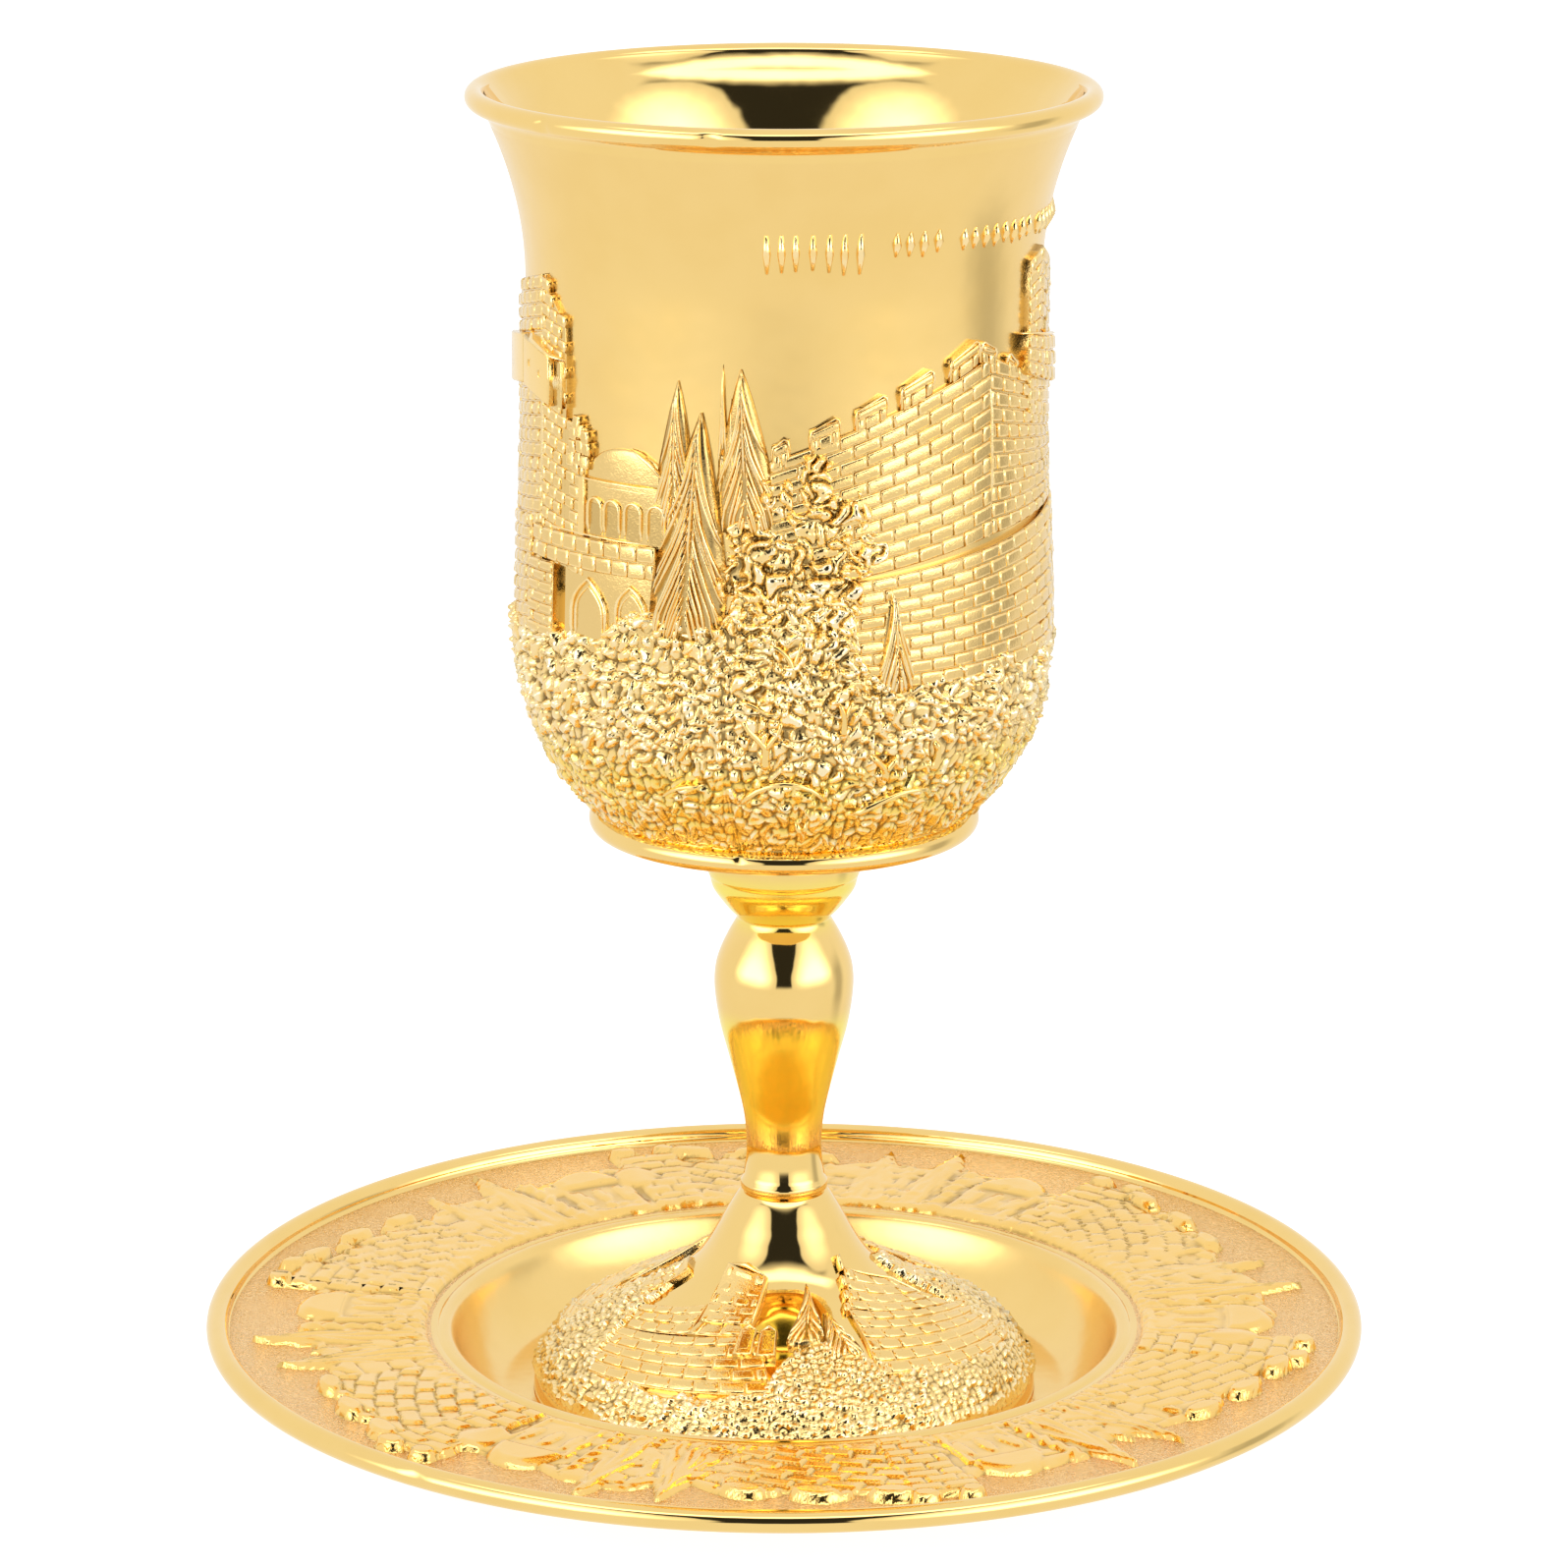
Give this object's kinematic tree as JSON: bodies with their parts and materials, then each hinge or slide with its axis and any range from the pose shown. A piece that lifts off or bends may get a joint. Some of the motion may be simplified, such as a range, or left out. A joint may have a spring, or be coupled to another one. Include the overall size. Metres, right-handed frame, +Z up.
{
  "type": "kiddush cup",
  "caption": "Gold-plated stemmed kiddush cup with a bell-mouthed bowl, a domed foot and a matching saucer, cast in low relief with a walled hill town and trees.",
  "frame": {"origin": "on the cup's axis, at the saucer's flat underside", "axes": "+Z up along the cup's axis, -Y towards the side that the picture shows, +X to the viewer's right"},
  "size_m": [0.1466, 0.1466, 0.1681],
  "materials": {
    "relief_gold": "gold-plated casting, bright, with a fine grainy relief",
    "polished_gold": "gold-plated, mirror polished"
  },
  "bodies": {
    "root": {"bowl": "relief_gold", "stem": "polished_gold", "foot": "relief_gold", "saucer": "relief_gold"}
  },
  "joints": []
}
